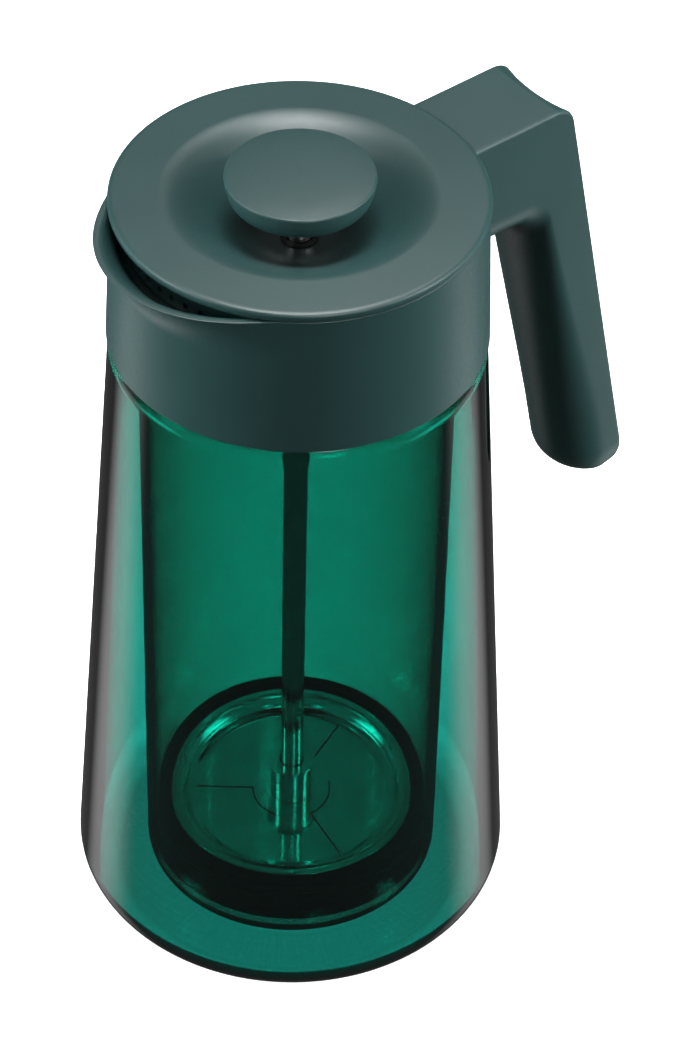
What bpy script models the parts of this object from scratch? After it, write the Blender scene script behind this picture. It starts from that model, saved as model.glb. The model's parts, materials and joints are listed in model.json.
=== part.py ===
"""French press: a double-wall glass jug with a collar, spout and handle, a lift-off strainer lid and
a plunger with a silicone-edged filter.

The jug stands on the origin with +Z up. The handle points along +X and the spout along -X, and the
axis of the jug, lid and plunger is the Z axis. Every length is in metres.
"""
from math import atan, cos, pi, radians, sin, tan

import bmesh
import bpy
from mathutils import Matrix, Vector

# Heights above the table
LID_TOP = 0.252
RIM = 0.2486
COLLAR_BOTTOM = 0.2048
LEDGE_TOP = 0.2390
GLASS_TOP = 0.2350
FILTER_TOP = 0.0270

# Radii from the axis
LID_RADIUS = 0.0522
RIM_RADIUS = 0.0517
COLLAR_FOOT_RADIUS = 0.0533
GLASS_TOP_RADIUS = 0.0527
GLASS_BASE_RADIUS = 0.0642
NECK_RADIUS = 0.0478
INNER_GLASS_RADIUS = 0.0452
BORE_RADIUS = 0.0432
FILTER_RADIUS = 0.0429
ROD_RADIUS = 0.0035
ROD_CLEARANCE = 0.00025
KNOB_RADIUS = 0.0208

# Walls and fits
GAP = 0.0003
GLASS_WALL = 0.0022
BASE_CORNER = 0.0110
BASE_RECESS = 0.0015
VENT_RADIUS = 0.0043
LIP_DEPTH = 0.0024
SLEEVE_RADIUS = 0.0498
LEDGE_THICKNESS = 0.0020
NECK_GASKET_TOP = 0.2130
STUD_RADIUS = 0.0024

# Smoothness of round pieces
FINE_SIDES = 40
SMALL_SIDES = 20
COLLAR_SIDES = 56

# Spout: a lip that flares out of the collar's rim
SPOUT_REACH = 0.0103
SPOUT_HALF_ANGLE = radians(45)
SPOUT_DEPTH = 0.0150

# Handle
HANDLE_HALF_WIDTH = 0.0142
HANDLE_TOP = 0.2499
HANDLE_UNDERSIDE = 0.2095
HANDLE_LENGTH = 0.1515
HANDLE_CORNER_X = 0.0859
HANDLE_CORNER_RADIUS = 0.0065
HANDLE_NOSE_X = 0.0759
HANDLE_END_DEPTH = 0.0190
HANDLE_NOSE_REACH = 0.0130
HANDLE_FILLET_RADIUS = 0.0100
HANDLE_LEAN = 0.211
HANDLE_END_RADIUS = 0.0120
END_INSET_BACK = 0.0050
END_INSET_NOSE = 0.0125
END_INSET_SIDE = 0.0070
HANDLE_EDGE = 0.0012
GROOVE_DEPTH = 0.0030
SCREW_HEIGHTS = (0.2170, 0.2300)
SCREW_RADIUS = 0.0019
SCREW_HEAD_RADIUS = 0.0034
SCREW_SEAT_X = 0.0512
SCREW_END_X = 0.0660

# Lid: seal groove, and strainer holes that face the spout
SEAL_SEAT = 0.0404
SEAL_LOW = 0.2283
SEAL_HIGH = 0.2327
DISH_FLOOR = 0.2396
LID_SKIN = 0.0022
BRIM_THICKNESS = 0.0030
BOSS_LOW = 0.2290
BOSS_BORE = 0.0056
WIPER_LOW = 0.2357
STRAINER_HOLES = 11
STRAINER_PITCH = radians(6)
STRAINER_HOLE_RADIUS = 0.0009

# Knob: its underside and the pocket for its insert
KNOB_LOW = 0.2492
KNOB_POCKET = 0.0047
KNOB_POCKET_TOP = 0.2560

# Filter: silicone ring, three discs and the hub that joins them to the rod
DISC_RADIUS = 0.0381
DISC_THICKNESS = 0.0008
DISC_LEVELS = {"spiral_plate": 0.0214, "mesh_screen": 0.0202, "cross_plate": 0.0190}
STUD_HOLE_RADIUS = 0.0028
WASHER_THICKNESS = 0.0010
HUB_TOP = 0.0350
HUB_WEB = 0.0245

COLOURS = {
    "plastic": ((0.060, 0.105, 0.105, 1), 0.42, 0.0),
    "glass": ((0.030, 0.400, 0.290, 1), 0.04, 0.0),
    "silicone": ((0.010, 0.014, 0.014, 1), 0.60, 0.0),
    "steel": ((0.600, 0.610, 0.600, 1), 0.22, 1.0),
    "brass": ((0.700, 0.520, 0.220, 1), 0.30, 1.0),
}


def clear_scene():
    for item in list(bpy.data.objects):
        bpy.data.objects.remove(item, do_unlink=True)


def make_material(name, finish):
    colour, roughness, metallic = COLOURS[finish]
    material = bpy.data.materials.new(name)
    material.use_nodes = True
    shader = material.node_tree.nodes["Principled BSDF"]
    shader.inputs["Base Color"].default_value = colour
    shader.inputs["Roughness"].default_value = roughness
    shader.inputs["Metallic"].default_value = metallic
    if finish == "glass":
        shader.inputs["Transmission Weight"].default_value = 0.9
    return material


def add_object(name, bm, finish=None, parent=None):
    """Turn a closed bmesh into an object; one with no finish is a cutter."""
    bmesh.ops.recalc_face_normals(bm, faces=bm.faces)
    if bm.calc_volume(signed=True) < 0:
        bmesh.ops.reverse_faces(bm, faces=bm.faces)
    mesh = bpy.data.meshes.new(name)
    bm.to_mesh(mesh)
    bm.free()
    item = bpy.data.objects.new(name, mesh)
    bpy.context.collection.objects.link(item)
    if finish:
        mesh.materials.append(make_material(name + "_material", finish))
        mesh.shade_smooth()
        mesh.set_sharp_from_angle(angle=radians(32))
    else:
        item.hide_render = True
        item.display_type = "WIRE"
    if parent:
        item.parent = parent
        item.location = -parent.location
    return item


def add_pivot(name, height):
    """An empty on the jug's axis, the axis that its children slide along and turn about."""
    item = bpy.data.objects.new(name, None)
    item.location = (0, 0, height)
    bpy.context.collection.objects.link(item)
    return item


def arc(centre_r, centre_z, radius, start, end, steps):
    """Points on an arc, with its angles in degrees from the outward direction."""
    points = []
    for step in range(steps + 1):
        angle = radians(start + (end - start) * step / steps)
        points.append((centre_r + radius * cos(angle), centre_z + radius * sin(angle)))
    return points


def box_outline(inner, outer, bottom, top):
    return [(inner, bottom), (outer, bottom), (outer, top), (inner, top)]


def plug_outline(radius, bottom, top):
    return [(0, bottom), (radius, bottom), (radius, top), (0, top)]


def revolve(outline, sides=FINE_SIDES, swell=None):
    """Turn an outline of (radius, height) points about the Z axis.

    An outline whose first and last points are on the axis makes a solid, any other a ring.
    """
    bm = bmesh.new()
    solid = outline[0][0] == 0 and outline[-1][0] == 0
    rings = []
    for radius, height in outline:
        if radius == 0:
            rings.append([bm.verts.new((0, 0, height))] * sides)
            continue
        ring = []
        for side in range(sides):
            angle = 2 * pi * side / sides
            reach = radius + (swell(radius, height, angle) if swell else 0)
            ring.append(bm.verts.new((reach * cos(angle), reach * sin(angle), height)))
        rings.append(ring)
    pairs = list(zip(rings, rings[1:]))
    if not solid:
        pairs.append((rings[-1], rings[0]))
    for low, high in pairs:
        for side in range(sides):
            after = (side + 1) % sides
            corners = []
            for vert in (low[side], low[after], high[after], high[side]):
                if vert not in corners:
                    corners.append(vert)
            bm.faces.new(corners)
    return bm


def rod_along_x(spans, height, sides=SMALL_SIDES):
    """A stepped round bar along +X at the given height, from (start, end, radius) spans."""
    outline = [(0, spans[0][0])]
    for start, end, radius in spans:
        outline += [(radius, start), (radius, end)]
    outline.append((0, spans[-1][1]))
    bm = revolve(outline, sides)
    for vert in bm.verts:
        vert.co = Vector((vert.co.z, vert.co.y, height - vert.co.x))
    return bm


def cut(item, cutters):
    for cutter in cutters:
        modifier = item.modifiers.new("cut", "BOOLEAN")
        modifier.operation = "DIFFERENCE"
        modifier.object = cutter


# ---------------------------------------------------------------- jug

def outer_glass():
    """Flared outer wall with a foot ring, a shoulder under the collar and a straight neck."""
    foot_inner = 0.0400
    wall = GLASS_WALL
    corner_r = GLASS_BASE_RADIUS - BASE_CORNER
    neck_top = GLASS_TOP - LIP_DEPTH - GAP
    shoulder = COLLAR_BOTTOM - GAP
    outline = [(VENT_RADIUS, BASE_RECESS), (foot_inner - 0.003, BASE_RECESS), (foot_inner, 0)]
    outline += arc(corner_r, BASE_CORNER, BASE_CORNER, -90, 3, 6)
    outline += [(GLASS_TOP_RADIUS, shoulder - 0.0025)]
    outline += arc(GLASS_TOP_RADIUS - 0.0020, shoulder - 0.0020, 0.0020, 15, 90, 3)
    outline += [(NECK_RADIUS + 0.0012, shoulder), (NECK_RADIUS, shoulder + 0.0012)]
    outline += [(NECK_RADIUS, neck_top), (NECK_RADIUS - 0.0017, neck_top)]
    outline += [(NECK_RADIUS - 0.0017, shoulder - 0.0010)]
    outline += [(GLASS_TOP_RADIUS - 0.0034, shoulder - 0.0024)]
    outline += [(GLASS_TOP_RADIUS - wall, shoulder - 0.0052)]
    outline += arc(corner_r, BASE_CORNER, BASE_CORNER - wall, 3, -90, 4)
    outline += [(VENT_RADIUS, BASE_RECESS + wall - 0.0004)]
    return add_object("outer_glass", revolve(outline), "glass")


def inner_glass():
    """Straight cup with a rolled lip that is fused to the neck of the outer wall."""
    bottom = 0.0052
    floor = 0.0070
    corner = 0.0060
    lip_low, lip_high = GLASS_TOP - LIP_DEPTH, GLASS_TOP
    lip_radius = 0.0493
    outline = [(0, bottom)]
    outline += arc(INNER_GLASS_RADIUS - corner, bottom + corner, corner, -90, 0, 4)
    outline += [(INNER_GLASS_RADIUS, lip_low), (lip_radius - 0.0006, lip_low)]
    outline += [(lip_radius, lip_low + 0.0007), (lip_radius, lip_high - 0.0007)]
    outline += [(lip_radius - 0.0007, lip_high), (BORE_RADIUS + 0.0008, lip_high)]
    outline += [(BORE_RADIUS, lip_high - 0.0008)]
    outline += arc(BORE_RADIUS - corner + 0.002, floor + corner - 0.002, corner - 0.002, 0, -90, 4)
    outline += [(0, floor)]
    return add_object("inner_glass", revolve(outline), "glass")


def vent_plug():
    """Silicone plug in the vent hole of the base; its flat head lies level with the foot ring."""
    head, stem, stem_top = 0.0095, VENT_RADIUS - GAP, 0.0040
    shoulder = BASE_RECESS - GAP
    outline = [(0, 0), (head, 0), (head, shoulder), (stem, shoulder), (stem, stem_top), (0, stem_top)]
    return add_object("vent_plug", revolve(outline, SMALL_SIDES), "silicone")


def spout_swell(radius, height, angle):
    """Outward shift of the collar's wall that forms the pouring lip."""
    turn = abs(angle - pi)
    drop = (RIM - height) / SPOUT_DEPTH
    if radius < 0.047 or turn >= SPOUT_HALF_ANGLE or drop >= 1:
        return 0
    across = cos(turn / SPOUT_HALF_ANGLE * pi / 2) ** 1.25
    return SPOUT_REACH * across * (1 - max(drop, 0)) ** 1.8


def collar_radius(height):
    share = (height - COLLAR_BOTTOM) / (RIM - COLLAR_BOTTOM)
    return COLLAR_FOOT_RADIUS + (RIM_RADIUS - COLLAR_FOOT_RADIUS) * share


def collar():
    """Moulded band round the neck, with the ledge that seats the lid and the pouring lip."""
    throat = 0.0490
    ledge_inner = 0.0446
    ledge_low = LEDGE_TOP - LEDGE_THICKNESS
    outline = [(SLEEVE_RADIUS, COLLAR_BOTTOM), (COLLAR_FOOT_RADIUS - 0.0006, COLLAR_BOTTOM)]
    outline += [(COLLAR_FOOT_RADIUS, COLLAR_BOTTOM + 0.0006)]
    for drop in (SPOUT_DEPTH, 0.0100, 0.0060, 0.0030, 0.0005):
        outline.append((collar_radius(RIM - drop), RIM - drop))
    outline += [(RIM_RADIUS - 0.0005, RIM), (throat + 0.0005, RIM), (throat, RIM - 0.0006)]
    outline += [(throat, RIM - drop) for drop in (0.0030, 0.0060)]
    outline += [(throat, LEDGE_TOP), (ledge_inner, LEDGE_TOP)]
    outline += [(ledge_inner, ledge_low), (SLEEVE_RADIUS, ledge_low)]
    band = add_object("collar", revolve(outline, COLLAR_SIDES, spout_swell), "plastic")
    cutters = []
    for number, height in enumerate(SCREW_HEIGHTS, 1):
        spans = [(SLEEVE_RADIUS - 0.0050, SCREW_SEAT_X, SCREW_HEAD_RADIUS + GAP),
                 (SCREW_SEAT_X, COLLAR_FOOT_RADIUS + 0.0030, SCREW_RADIUS + GAP)]
        cutters.append(add_object(f"collar_screw_hole_{number}", rod_along_x(spans, height, 16)))
    cut(band, cutters)
    return band


def rim_gasket():
    """Flat silicone ring between the glass lip and the collar's ledge."""
    outline = box_outline(0.0450, 0.0490, GLASS_TOP + GAP, LEDGE_TOP - LEDGE_THICKNESS - GAP)
    return add_object("rim_gasket", revolve(outline), "silicone")


def neck_gasket():
    """Silicone ring that closes the gap between the neck and the collar's foot."""
    outline = box_outline(NECK_RADIUS + GAP, SLEEVE_RADIUS - GAP, COLLAR_BOTTOM + 0.0022, NECK_GASKET_TOP)
    return add_object("neck_gasket", revolve(outline), "silicone")


def lock_ring():
    """Split ring under the glass lip; its gap faces the handle screws."""
    inner, outer = NECK_RADIUS + GAP, SLEEVE_RADIUS - GAP
    low, high = NECK_GASKET_TOP + 2 * GAP, GLASS_TOP - LIP_DEPTH - GAP
    gap_half_angle = radians(9)
    steps = 36
    bm = bmesh.new()
    sections = []
    for step in range(steps + 1):
        angle = gap_half_angle + (2 * pi - 2 * gap_half_angle) * step / steps
        corners = box_outline(inner, outer, low, high)
        sections.append([bm.verts.new((r * cos(angle), r * sin(angle), z)) for r, z in corners])
    for first, second in zip(sections, sections[1:]):
        for corner in range(4):
            after = (corner + 1) % 4
            bm.faces.new((first[corner], first[after], second[after], second[corner]))
    bm.faces.new(sections[0])
    bm.faces.new(sections[-1][::-1])
    return add_object("lock_ring", bm, "plastic")


# ---------------------------------------------------------------- handle

def handle_section(depth, half_width, groove, edge, nose):
    """A D-shaped section as (across, inward) points, its flat or grooved back at inward = 0."""
    half = []
    back_steps, edge_steps, nose_steps = 3, 2, 6
    flat = half_width - edge
    for step in range(back_steps):
        share = step / back_steps
        half.append((flat * share, groove * (1 - share * share)))
    for step in range(edge_steps + 1):
        angle = pi / 2 * step / edge_steps
        half.append((flat + edge * sin(angle), edge * (1 - cos(angle))))
    for step in range(nose_steps + 1):
        angle = pi / 2 * step / nose_steps
        half.append((half_width * cos(angle), depth - nose + nose * sin(angle)))
    mirrored = [(-across, inward) for across, inward in half[-2:0:-1]]
    return half + mirrored


def handle_stations():
    """Sections down the handle, as (back point, nose point, groove, rounding) in the XZ plane.

    The back line runs along the top, round the corner and down the grip; the nose line runs under
    the arm, round the fillet and down the inside of the grip, a little steeper than the back.
    """
    lean = atan(HANDLE_LEAN)
    down = Vector((sin(lean), -cos(lean)))
    back_corner = Vector((HANDLE_CORNER_X, HANDLE_TOP))
    nose_corner = Vector((HANDLE_NOSE_X, HANDLE_UNDERSIDE))
    tangent = tan((pi / 2 - lean) / 2)
    corner, fillet = HANDLE_CORNER_RADIUS, HANDLE_FILLET_RADIUS
    stations = []
    for x in (0.0480, 0.0560, 0.0640):
        stations.append((Vector((x, HANDLE_TOP)), Vector((x, HANDLE_UNDERSIDE)), 0, 0))

    turns = 5
    for turn in range(turns + 1):
        share = turn / turns
        angle = pi / 2 + (lean - pi / 2) * share
        outward = Vector((cos(angle), sin(angle)))
        back = back_corner - Vector((corner * tangent, corner)) + outward * corner
        nose = nose_corner - Vector((fillet * tangent, fillet)) + outward * fillet
        stations.append((back, nose, GROOVE_DEPTH * share, 0))

    shoulder = back_corner + down * (HANDLE_LENGTH - HANDLE_END_RADIUS)
    inward = Vector((down.y, -down.x)) * HANDLE_END_DEPTH
    start_back, start_nose = stations[-1][0], stations[-1][1]
    steps = 7
    for step in range(1, steps + 1):
        share = step / steps
        back = start_back.lerp(shoulder, share)
        nose = start_nose.lerp(shoulder + inward, share)
        stations.append((back, nose, GROOVE_DEPTH, 0))
    rounds = 6
    for step in range(1, rounds + 1):
        angle = pi / 2 * step / rounds
        along = down * HANDLE_END_RADIUS * sin(angle)
        rounding = 1 - cos(angle)
        stations.append((shoulder + along, shoulder + inward + along, GROOVE_DEPTH, rounding))
    return stations


def handle():
    """Arm and grip in one moulding: flat top, grooved back, rounded nose and a free lower end."""
    bm = bmesh.new()
    sections = []
    for back, nose, groove, rounding in handle_stations():
        inward = (nose - back).normalized()
        start = back + inward * END_INSET_BACK * rounding
        depth = (nose - back).length - (END_INSET_BACK + END_INSET_NOSE) * rounding
        half_width = HANDLE_HALF_WIDTH - END_INSET_SIDE * rounding
        nose_reach = min(HANDLE_NOSE_REACH, depth * 0.65)
        groove = groove * (1 - rounding)
        ring = []
        edge = min(HANDLE_EDGE, depth / 4)
        for across, reach in handle_section(depth, half_width, groove, edge, nose_reach):
            point = start + inward * reach
            ring.append(bm.verts.new((point.x, across, point.y)))
        sections.append(ring)
    for first, second in zip(sections, sections[1:]):
        for index in range(len(first)):
            after = (index + 1) % len(first)
            bm.faces.new((first[index], first[after], second[after], second[index]))
    bm.faces.new(sections[0])
    bm.faces.new(sections[-1][::-1])
    grip = add_object("handle", bm, "plastic")

    brim_clear = LID_RADIUS + 0.0005
    outline = [(0, 0.19), (collar_radius(0.19) + GAP, 0.19), (RIM_RADIUS + GAP, RIM)]
    outline += [(brim_clear, RIM), (brim_clear, 0.26), (0, 0.26)]
    cutters = [add_object("handle_seat_cutter", revolve(outline, 96))]
    for number, height in enumerate(SCREW_HEIGHTS, 1):
        spans = [(0.0500, SCREW_END_X + 0.0006, SCREW_RADIUS + GAP)]
        cutters.append(add_object(f"handle_screw_hole_{number}", rod_along_x(spans, height, 16)))
    cut(grip, cutters)
    return grip


def handle_screws():
    """Two screws that hold the handle from inside the collar."""
    for number, height in enumerate(SCREW_HEIGHTS, 1):
        spans = [(SCREW_SEAT_X - 0.0012, SCREW_SEAT_X - GAP, SCREW_HEAD_RADIUS),
                 (SCREW_SEAT_X - GAP, SCREW_END_X, SCREW_RADIUS)]
        add_object(f"handle_screw_{number}", rod_along_x(spans, height, 16), "steel")


# ---------------------------------------------------------------- lid

def dish_fall(share):
    """Share of the dish's depth at a share of the way in: an even curve, level at both ends."""
    return share * share * (3 - 2 * share)


def lid_cover(pivot):
    """Round brim with a smooth dished middle and a boss underneath that holds the rod bush."""
    brim_low = LID_TOP - BRIM_THICKNESS
    dish_radius, floor_radius = 0.0385, 0.0080
    hole, boss_radius = 0.0043, 0.0086
    steps = 8
    top = []
    under = []
    for step in range(steps + 1):
        share = step / steps
        radius = dish_radius + (floor_radius - dish_radius) * share
        height = LID_TOP - dish_fall(share) * (LID_TOP - DISH_FLOOR)
        top.append((radius, height))
        under.append((radius, height - LID_SKIN))
    skin_low = DISH_FLOOR - LID_SKIN
    outline = top + [(hole, DISH_FLOOR - GAP), (hole, skin_low), (BOSS_BORE, skin_low)]
    outline += [(BOSS_BORE, BOSS_LOW), (boss_radius, BOSS_LOW), (boss_radius, skin_low - GAP)]
    outline += under[-2:0:-1]
    outline += [(dish_radius, brim_low), (LID_RADIUS - 0.0006, brim_low)]
    outline += [(LID_RADIUS, brim_low + 0.0006), (LID_RADIUS, LID_TOP - 0.0008)]
    outline += [(LID_RADIUS - 0.0008, LID_TOP)]
    return add_object("lid_cover", revolve(outline), "plastic", pivot)


def strainer(pivot):
    """Stepped ring under the cover: pierced wall at the spout, seat on the ledge, skirt below."""
    wall, bore, skirt, skirt_bore = 0.0480, 0.0464, 0.0418, 0.0386
    top, seat, skirt_low = LID_TOP - BRIM_THICKNESS - GAP, LEDGE_TOP + GAP, 0.2240
    floor = seat + 0.0014
    outline = [(skirt_bore, skirt_low), (skirt, skirt_low), (skirt, SEAL_LOW - GAP)]
    outline += [(SEAL_SEAT, SEAL_LOW - GAP), (SEAL_SEAT, SEAL_HIGH + GAP), (skirt, SEAL_HIGH + GAP)]
    outline += [(skirt, seat), (wall, seat), (wall, top), (bore, top), (bore, floor)]
    outline += [(skirt_bore, floor)]
    ring = add_object("strainer", revolve(outline), "plastic", pivot)
    cutters = []
    middle = (STRAINER_HOLES - 1) / 2
    for number in range(STRAINER_HOLES):
        angle = pi + (number - middle) * STRAINER_PITCH
        spans = [(bore - 0.0010, wall + 0.0010, STRAINER_HOLE_RADIUS)]
        bm = rod_along_x(spans, floor + 0.0014, 8)
        bmesh.ops.rotate(bm, verts=bm.verts, cent=(0, 0, 0), matrix=Matrix.Rotation(angle, 3, "Z"))
        cutters.append(add_object(f"strainer_hole_{number + 1}", bm))
    cut(ring, cutters)
    return ring


def lid_seal(pivot):
    """Silicone ring in the skirt's groove, with a lip at its top and bottom."""
    inner, neck, lip = SEAL_SEAT + GAP, 0.0424, 0.0429
    outline = [(inner, SEAL_LOW), (lip - 0.0004, SEAL_LOW), (lip, SEAL_LOW + 0.0006)]
    outline += [(neck, SEAL_LOW + 0.0018), (neck, SEAL_HIGH - 0.0018), (lip, SEAL_HIGH - 0.0006)]
    outline += [(lip - 0.0004, SEAL_HIGH), (inner, SEAL_HIGH)]
    return add_object("lid_seal", revolve(outline), "silicone", pivot)


def rod_bush(pivot):
    """Flanged sleeve in the cover's boss that guides the rod."""
    bore, sleeve, flange = ROD_RADIUS + ROD_CLEARANCE, BOSS_BORE - GAP, 0.0084
    low, high = BOSS_LOW - 0.0022, WIPER_LOW - GAP
    outline = [(bore, low), (flange, low), (flange, BOSS_LOW - GAP), (sleeve, BOSS_LOW - GAP)]
    outline += [(sleeve, high), (bore, high)]
    return add_object("rod_bush", revolve(outline, SMALL_SIDES), "plastic", pivot)


def rod_wiper(pivot):
    """Ring above the bush that wipes the rod and turns with it."""
    high = DISH_FLOOR - LID_SKIN - GAP
    outline = box_outline(ROD_RADIUS + ROD_CLEARANCE, BOSS_BORE - GAP, WIPER_LOW, high)
    return add_object("rod_wiper", revolve(outline, SMALL_SIDES), "silicone", pivot)


# ---------------------------------------------------------------- plunger

def knob(pivot):
    """Thin-edged round knob with a shallow dome, a curved underside and a pocket for its insert."""
    edge = LID_TOP + 0.0053
    low = KNOB_LOW
    outline = [(0, KNOB_POCKET_TOP), (KNOB_POCKET, KNOB_POCKET_TOP), (KNOB_POCKET, low)]
    outline += [(0.0062, low), (0.0100, low + 0.0009), (0.0150, low + 0.0034), (0.0192, edge - 0.0015)]
    outline += [(0.0205, edge - 0.0005), (KNOB_RADIUS, edge), (0.0205, edge + 0.0005)]
    outline += [(0.0170, edge + 0.0010), (0.0110, edge + 0.0015), (0, edge + 0.0018)]
    return add_object("knob", revolve(outline), "plastic", pivot)


def knob_insert(pivot):
    """Threaded brass insert that joins the knob to the rod."""
    outline = box_outline(STUD_RADIUS + GAP, KNOB_POCKET - GAP, KNOB_LOW + GAP, KNOB_POCKET_TOP - GAP)
    return add_object("knob_insert", revolve(outline, SMALL_SIDES), "brass", pivot)


def plunger_rod(pivot):
    """Round rod with a reduced stud at each end."""
    stud_low, shoulder_low = 0.0115, HUB_WEB + GAP
    shoulder_high, stud_high = KNOB_LOW - GAP, KNOB_POCKET_TOP - 0.0007
    outline = [(0, stud_low), (STUD_RADIUS - 0.0004, stud_low), (STUD_RADIUS, stud_low + 0.0004)]
    outline += [(STUD_RADIUS, shoulder_low), (ROD_RADIUS, shoulder_low)]
    outline += [(ROD_RADIUS, shoulder_high), (STUD_RADIUS, shoulder_high)]
    outline += [(STUD_RADIUS, stud_high), (0, stud_high)]
    return add_object("plunger_rod", revolve(outline, SMALL_SIDES), "steel", pivot)


def filter_hub(pivot):
    """Steel hub on top of the discs, bored for the rod and its stud."""
    bore, body, lip = ROD_RADIUS + GAP, 0.0064, 0.0072
    low = DISC_LEVELS["spiral_plate"] + DISC_THICKNESS + GAP
    outline = [(STUD_HOLE_RADIUS, low), (body, low), (body, HUB_TOP - 0.0010)]
    outline += [(lip, HUB_TOP - 0.0006), (lip, HUB_TOP - 0.0002)]
    outline += [(lip - 0.0003, HUB_TOP), (bore, HUB_TOP), (bore, HUB_WEB), (STUD_HOLE_RADIUS, HUB_WEB)]
    return add_object("filter_hub", revolve(outline, SMALL_SIDES), "steel", pivot)


def disc(name, pivot, outline):
    return add_object(name, revolve(outline), "steel", pivot)


def spiral_plate(pivot):
    """Pressed steel dish: flat floor with three hooked cuts, sloped wall, ridge, rim and skirt."""
    sheet = DISC_THICKNESS
    low = DISC_LEVELS["spiral_plate"]
    high = low + sheet
    rim_top = FILTER_TOP - 0.0009
    ridge_top = rim_top + 0.0006
    floor, ridge, rim = 0.0305, 0.0348, 0.0357
    outline = [(STUD_HOLE_RADIUS, low), (floor + 0.0005, low), (ridge, ridge_top - 2 * sheet)]
    outline += [(rim, rim_top - sheet), (DISC_RADIUS - sheet, rim_top - sheet)]
    outline += [(DISC_RADIUS - sheet, low), (DISC_RADIUS, low), (DISC_RADIUS, rim_top)]
    outline += [(rim, rim_top), (ridge, ridge_top), (floor, high), (STUD_HOLE_RADIUS, high)]
    plate = disc("spiral_plate", pivot, outline)
    cutters = []
    for number in range(3):
        angle = 2 * pi * number / 3 + radians(20)
        cutters.append(add_object(f"plate_cut_{number + 1}", plate_cut(angle, low, high)))
    cut(plate, cutters)
    return plate


def plate_cut(start, low, high):
    """A hook-shaped slit: straight out along a radius, then round the hub on an arc."""
    inner, outer, width, sweep, steps = 0.0120, 0.0300, 0.0008, radians(75), 7
    near = []
    far = []
    for step in range(steps, -1, -1):
        angle = start + sweep * step / steps
        near.append(((inner - width / 2) * cos(angle), (inner - width / 2) * sin(angle)))
        if step:
            far.append(((inner + width / 2) * cos(angle), (inner + width / 2) * sin(angle)))
    along = Vector((cos(start), sin(start)))
    side = Vector((-sin(start), cos(start))) * width
    corners = [near[-1], along * outer, along * outer + side, along * (inner + width / 2) + side]
    outline = near + [tuple(corner) for corner in corners[1:]] + far[::-1]
    bm = bmesh.new()
    bottom = [bm.verts.new((x, y, low - 0.002)) for x, y in outline]
    top = [bm.verts.new((x, y, high + 0.002)) for x, y in outline]
    bm.faces.new(bottom)
    bm.faces.new(top[::-1])
    for index in range(len(outline)):
        after = (index + 1) % len(outline)
        bm.faces.new((bottom[index], top[index], top[after], bottom[after]))
    return bm


def mesh_screen(pivot):
    """Disc of fine woven mesh, solid here at its overall thickness."""
    low = DISC_LEVELS["mesh_screen"]
    outline = box_outline(STUD_HOLE_RADIUS, DISC_RADIUS, low, low + DISC_THICKNESS)
    return disc("mesh_screen", pivot, outline)


def cross_plate(pivot):
    """Lower disc that backs the mesh, with a ring of flow holes."""
    low = DISC_LEVELS["cross_plate"]
    hole_radius, hole_circle, holes = 0.0056, 0.0235, 8
    outline = box_outline(STUD_HOLE_RADIUS, DISC_RADIUS, low, low + DISC_THICKNESS)
    plate = disc("cross_plate", pivot, outline)
    cutters = []
    for number in range(holes):
        angle = 2 * pi * (number + 0.4) / holes
        bm = revolve(plug_outline(hole_radius, low - 0.002, low + 0.003), 12)
        centre = Vector((hole_circle * cos(angle), hole_circle * sin(angle), 0))
        bmesh.ops.translate(bm, verts=bm.verts, vec=centre)
        cutters.append(add_object(f"flow_hole_{number + 1}", bm))
    cut(plate, cutters)
    return plate


def filter_ring(pivot):
    """Deep silicone ring round the discs, with a ledge under them and wiping lips outside."""
    shelf, seat, waist = 0.0350, DISC_RADIUS + GAP, FILTER_RADIUS - 0.0007
    low, shelf_low, shelf_high = 0.0104, 0.0165, DISC_LEVELS["cross_plate"] - GAP
    outline = [(shelf, shelf_low), (0.0385, shelf_low), (0.0400, low), (0.0410, low)]
    outline += [(FILTER_RADIUS, low + 0.0020), (FILTER_RADIUS, low + 0.0034), (waist, low + 0.0044)]
    outline += [(waist, FILTER_TOP - 0.0044), (FILTER_RADIUS, FILTER_TOP - 0.0034)]
    outline += [(FILTER_RADIUS, FILTER_TOP - 0.0008), (FILTER_RADIUS - 0.0008, FILTER_TOP)]
    outline += [(seat + 0.0005, FILTER_TOP), (seat, FILTER_TOP - 0.0006), (seat, shelf_high)]
    outline += [(shelf, shelf_high)]
    return add_object("filter_ring", revolve(outline), "silicone", pivot)


def filter_washer(pivot):
    """Washer between the lower disc and the nut."""
    top = DISC_LEVELS["cross_plate"] - GAP
    outline = box_outline(STUD_HOLE_RADIUS, 0.0060, top - WASHER_THICKNESS, top)
    return add_object("filter_washer", revolve(outline, SMALL_SIDES), "steel", pivot)


def filter_nut(pivot):
    """Hexagon nut on the rod's lower stud."""
    top = DISC_LEVELS["cross_plate"] - WASHER_THICKNESS - 2 * GAP
    low = top - 0.0045
    nut = add_object("filter_nut", revolve(plug_outline(0.0050, low, top), 6), "steel", pivot)
    bore = plug_outline(STUD_HOLE_RADIUS, low - 0.001, top + 0.001)
    cut(nut, [add_object("nut_bore", revolve(bore, SMALL_SIDES))])
    return nut


def main():
    clear_scene()
    for make in (outer_glass, inner_glass, vent_plug, collar, rim_gasket, neck_gasket, lock_ring):
        make()
    handle()
    handle_screws()

    lid_pivot = add_pivot("lid_pivot", LEDGE_TOP)
    for make in (lid_cover, strainer, lid_seal, rod_bush, rod_wiper):
        make(lid_pivot)

    plunger_pivot = add_pivot("plunger_pivot", FILTER_TOP)
    pieces = (knob, knob_insert, plunger_rod, filter_hub, spiral_plate, mesh_screen, cross_plate)
    for make in pieces + (filter_ring, filter_washer, filter_nut):
        make(plunger_pivot)


main()
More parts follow.
